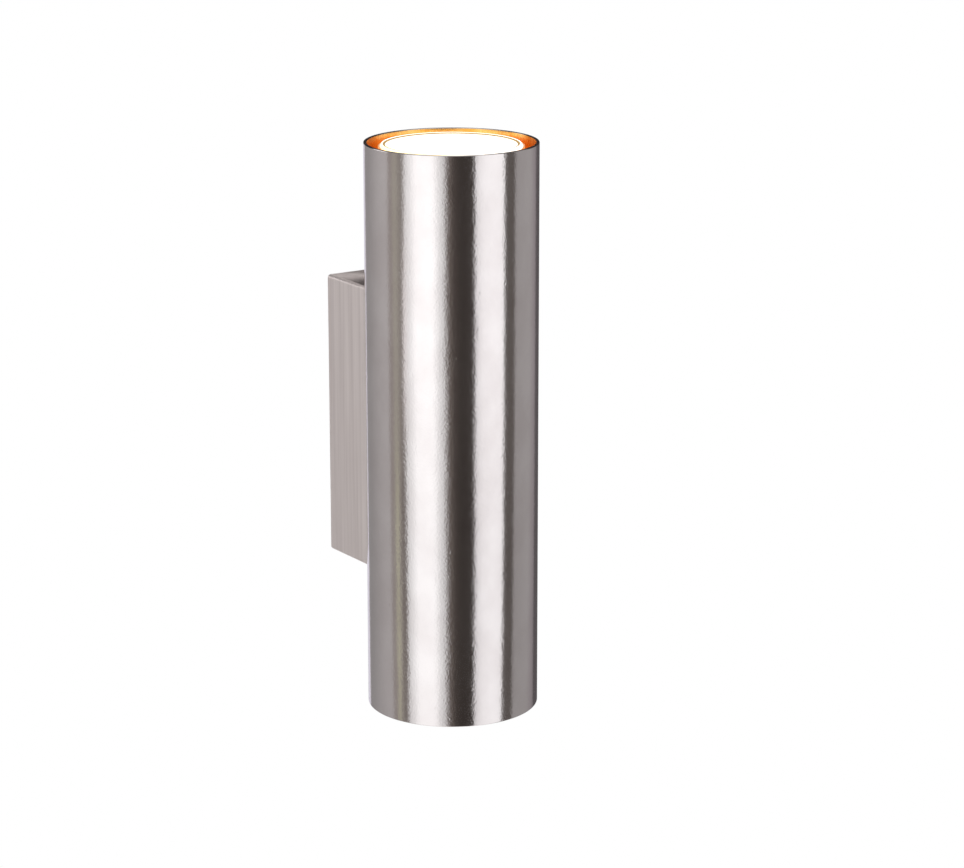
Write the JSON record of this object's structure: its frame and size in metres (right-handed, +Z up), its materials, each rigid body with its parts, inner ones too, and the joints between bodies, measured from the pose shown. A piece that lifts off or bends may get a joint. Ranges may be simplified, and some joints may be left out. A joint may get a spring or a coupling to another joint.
{
  "type": "tube wall light",
  "caption": "Up-and-down wall light: a round satin-nickel tube, open at both ends, on a slim folded wall box, with a twist-lock reflector lamp inside each mouth.",
  "frame": {"origin": "centre of the wall bracket's back face, on the wall plane", "axes": "+Z up along the tube, +Y into the wall, -Y out into the room, +X to the right seen from the room"},
  "size_m": [0.06, 0.0871, 0.2],
  "materials": {
    "satin_nickel_tube": "satin nickel plate brushed round the tube",
    "satin_nickel_box": "satin nickel plate with an upright brushed grain",
    "zinc_plate": "bright zinc-plated steel",
    "brass": "rolled brass",
    "tinned_copper": "tinned copper",
    "pin_nickel": "nickel-plated brass pin",
    "steatite": "unglazed white steatite",
    "reflector_glass": "pressed glass with a dichroic mirror coat",
    "lens_glass": "stippled front glass, lit",
    "quartz": "clear fused quartz",
    "tungsten": "drawn tungsten wire",
    "nylon": "natural moulded nylon",
    "rubber": "black rubber",
    "lead_brown": "brown silicone insulation",
    "lead_blue": "blue silicone insulation",
    "lead_earth": "green and yellow silicone insulation"
  },
  "bodies": {
    "fixture": {"tube_shade": "satin_nickel_tube", "wall_box_cover": "satin_nickel_box", "wall_bracket": "zinc_plate", "cover_screws": "zinc_plate", "cable_grommet": "rubber", "shade_screws": "zinc_plate", "shade_washers": "zinc_plate", "shade_nuts": "zinc_plate", "wire_bushing": "nylon", "lamp_carrier": "zinc_plate", "terminal_block": "nylon", "terminal_clamps": "brass", "terminal_screws": "zinc_plate", "block_screws": "zinc_plate", "lead_ferrules": "tinned_copper", "earth_screw": "brass", "earth_ring_terminal": "tinned_copper", "earth_lead": "lead_earth", "upper_live_lead": "lead_brown", "upper_neutral_lead": "lead_blue", "lower_live_lead": "lead_brown", "lower_neutral_lead": "lead_blue", "upper_lampholder": "steatite", "upper_holder_base": "steatite", "upper_holder_contacts": "brass", "upper_holder_screws": "zinc_plate", "lower_lampholder": "steatite", "lower_holder_base": "steatite", "lower_holder_contacts": "brass", "lower_holder_screws": "zinc_plate"},
    "upper_lamp": {"upper_lamp_reflector": "reflector_glass", "upper_lamp_lens": "lens_glass", "upper_lamp_base": "steatite", "upper_lamp_pins": "pin_nickel", "upper_lamp_capsule": "quartz", "upper_lamp_filament": "tungsten"},
    "lower_lamp": {"lower_lamp_reflector": "reflector_glass", "lower_lamp_lens": "lens_glass", "lower_lamp_base": "steatite", "lower_lamp_pins": "pin_nickel", "lower_lamp_capsule": "quartz", "lower_lamp_filament": "tungsten"}
  },
  "joints": [
    {"name": "upper_lamp_turn", "type": "hinge", "parent": "fixture", "child": "upper_lamp", "pos_m": [0, -0.0571, 0.057], "axis": [0, 0, 1], "range_deg": [0, 45]},
    {"name": "lower_lamp_turn", "type": "hinge", "parent": "fixture", "child": "lower_lamp", "pos_m": [0, -0.0571, -0.047], "axis": [0, 0, -1], "range_deg": [0, 45]}
  ]
}
